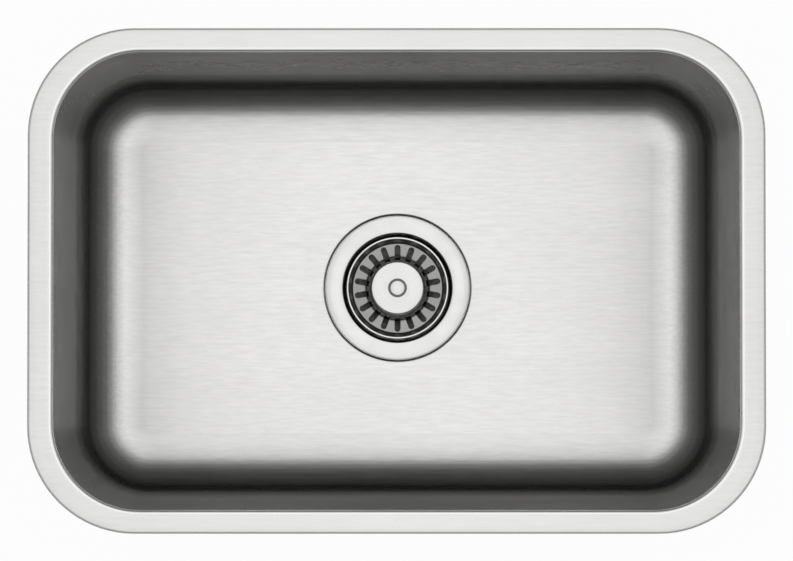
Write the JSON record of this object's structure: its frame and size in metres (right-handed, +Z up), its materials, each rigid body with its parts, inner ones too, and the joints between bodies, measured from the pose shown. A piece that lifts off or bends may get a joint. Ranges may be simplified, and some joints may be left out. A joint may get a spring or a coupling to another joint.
{
  "type": "undermount kitchen sink",
  "caption": "Undermount stainless kitchen sink: one rounded rectangular bowl with a flat flange and a lift-out slotted basket strainer over a straight waste tailpiece.",
  "frame": {"origin": "middle of the bowl opening on the flange's top face, which lies against the underside of the worktop", "axes": "+X along the sink's length, +Y to its back, +Z up, out of the bowl"},
  "size_m": [0.55, 0.377, 0.3662],
  "materials": {
    "bowl_steel": "stainless sheet, satin brushed along the sink's length",
    "strainer_steel": "pressed stainless, satin",
    "basket_steel": "pressed stainless, bright",
    "knob_steel": "pressed stainless, satin",
    "nut_brass": "cast brass, turned faces",
    "tube_chrome": "chrome-plated brass tube",
    "seal_rubber": "moulded black rubber",
    "friction_plastic": "off-white slip ring",
    "pad_rubber": "dark grey sound-deadening pad, matt"
  },
  "bodies": {
    "sink": {"sink_bowl": "bowl_steel", "wall_pad_front": "pad_rubber", "wall_pad_back": "pad_rubber", "wall_pad_left": "pad_rubber", "wall_pad_right": "pad_rubber", "floor_pad_left": "pad_rubber", "floor_pad_right": "pad_rubber", "strainer_body": "strainer_steel", "outlet_cross": "strainer_steel", "flange_seal": "seal_rubber", "under_gasket": "seal_rubber", "friction_ring": "friction_plastic", "lock_nut": "nut_brass", "tailpiece_washer": "seal_rubber", "coupling_nut": "tube_chrome", "tailpiece": "tube_chrome"},
    "seal": {"basket_seal": "seal_rubber", "seal_washer": "basket_steel"},
    "basket": {"basket": "basket_steel", "basket_post": "basket_steel", "post_clip": "basket_steel", "basket_knob": "knob_steel", "knob_rivet": "knob_steel"}
  },
  "joints": [
    {"name": "basket_lift", "type": "slide", "parent": "sink", "child": "seal", "axis": [0, 0, 1], "range_m": [0, 0.26]},
    {"name": "basket_turn", "type": "hinge", "parent": "seal", "child": "basket", "pos_m": [0, 0, -0.2], "axis": [0, 0, 1], "continuous": true}
  ]
}
